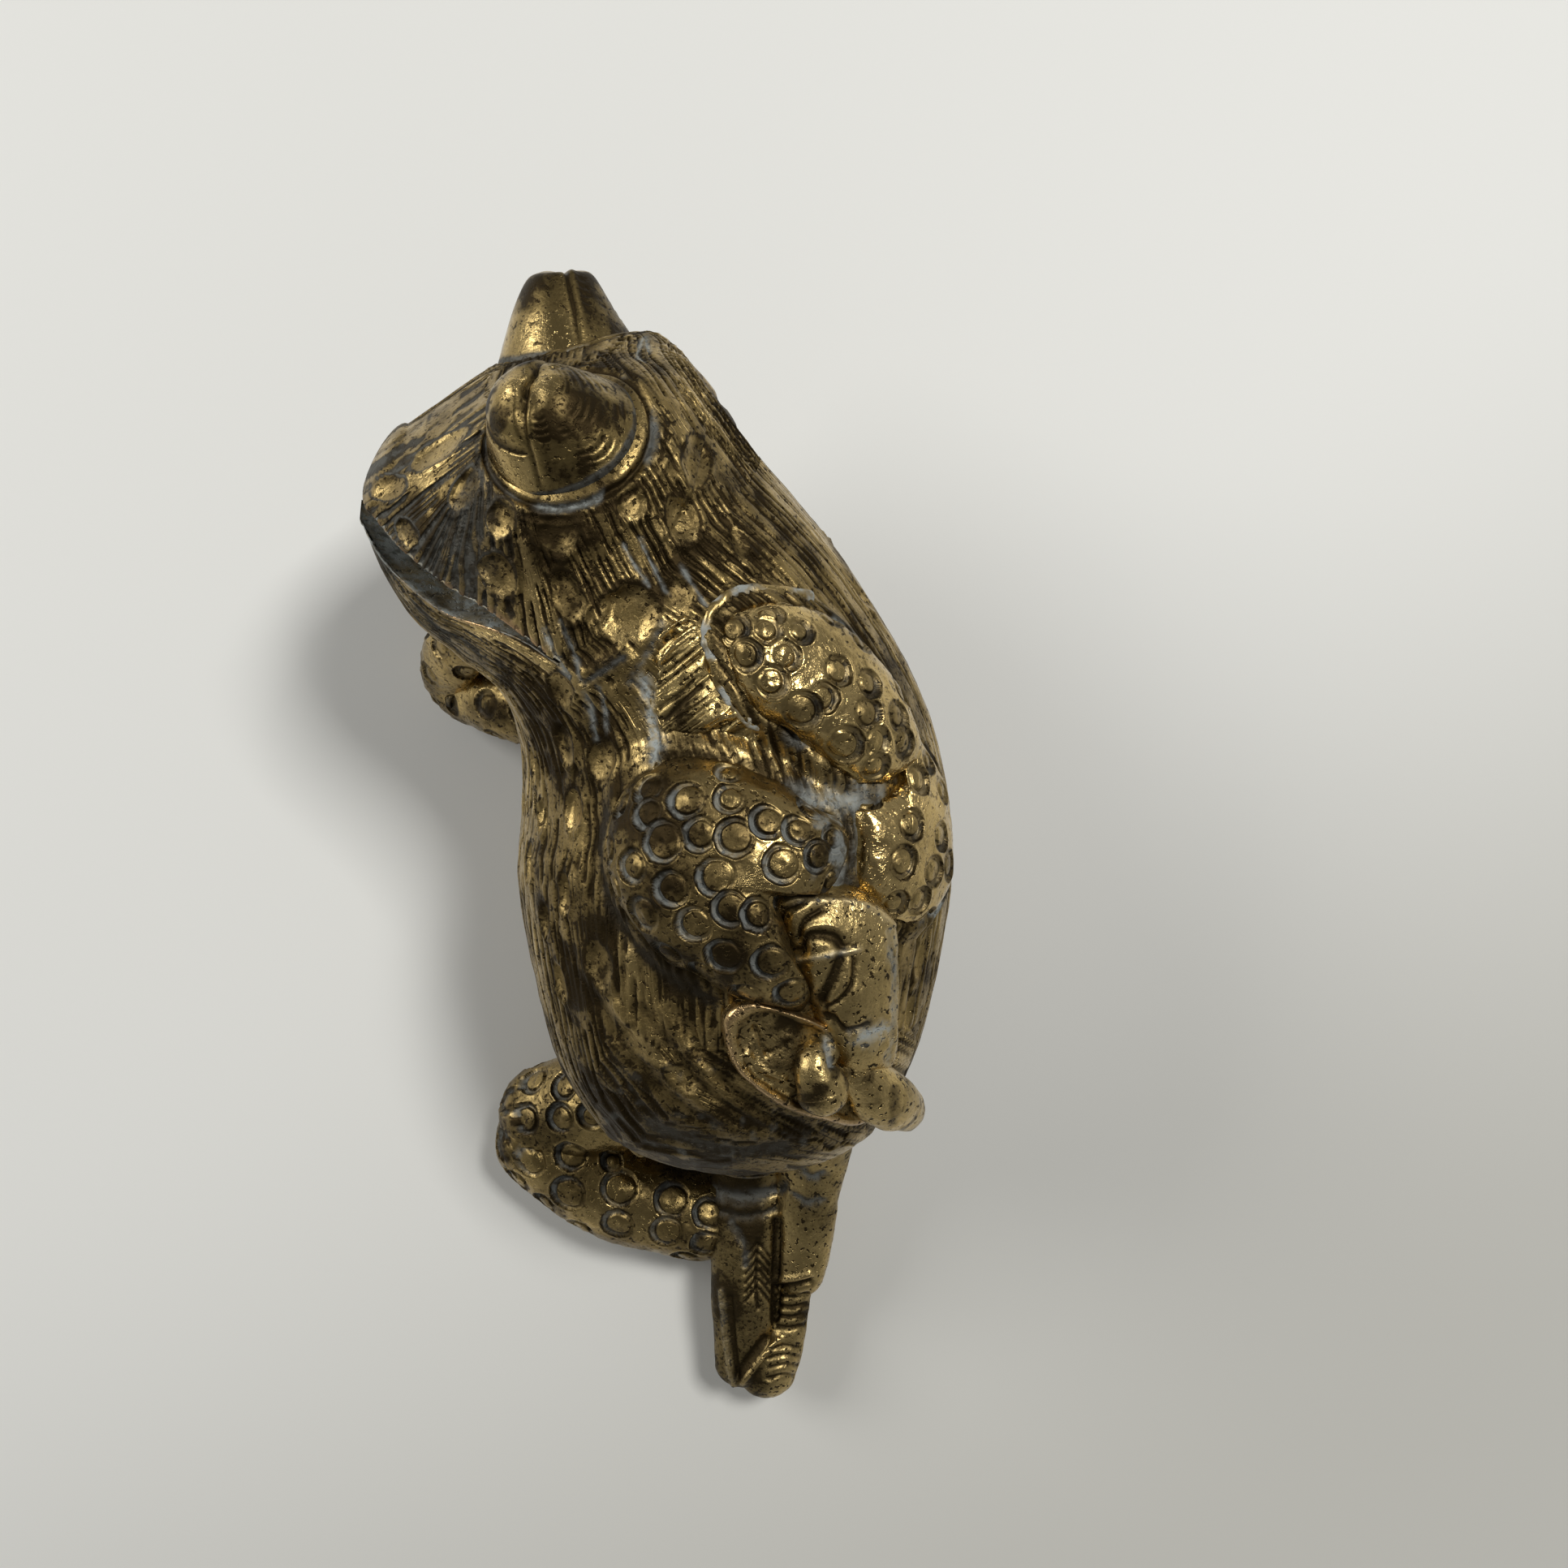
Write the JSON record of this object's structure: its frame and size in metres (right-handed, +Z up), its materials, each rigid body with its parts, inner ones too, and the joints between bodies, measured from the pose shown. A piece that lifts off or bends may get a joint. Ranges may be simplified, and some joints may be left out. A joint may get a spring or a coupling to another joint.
{
  "type": "toad figurine",
  "caption": "Cast brass toad ornament lying on its flank, with domed eyes, an open mouth, folded limbs and webbed feet.",
  "frame": {"origin": "centre of the bounding box, on the surface that the toad lies on", "axes": "+Z up from the surface, +Y from the feet towards the head, -X towards the belly and snout"},
  "size_m": [0.072, 0.1484, 0.0655],
  "materials": {
    "brass_body": "aged brass, engraved lines, dark recesses",
    "brass_limbs": "aged brass with punched rings",
    "brass_feet": "smooth worn brass",
    "brass_eyes": "worn bright brass",
    "braze": "dull braze with verdigris"
  },
  "bodies": {
    "root": {"torso": "brass_body", "head": "brass_body", "lower_jaw": "brass_body", "left_eye": "brass_eyes", "right_eye": "brass_eyes", "left_arm": "brass_limbs", "left_leg": "brass_limbs", "left_foot": "brass_feet", "left_hand": "brass_feet", "right_arm": "brass_limbs", "right_hand": "brass_feet", "right_leg": "brass_limbs", "right_foot": "brass_feet", "left_shoulder_bead": "braze", "right_hip_bead": "braze"}
  },
  "joints": []
}
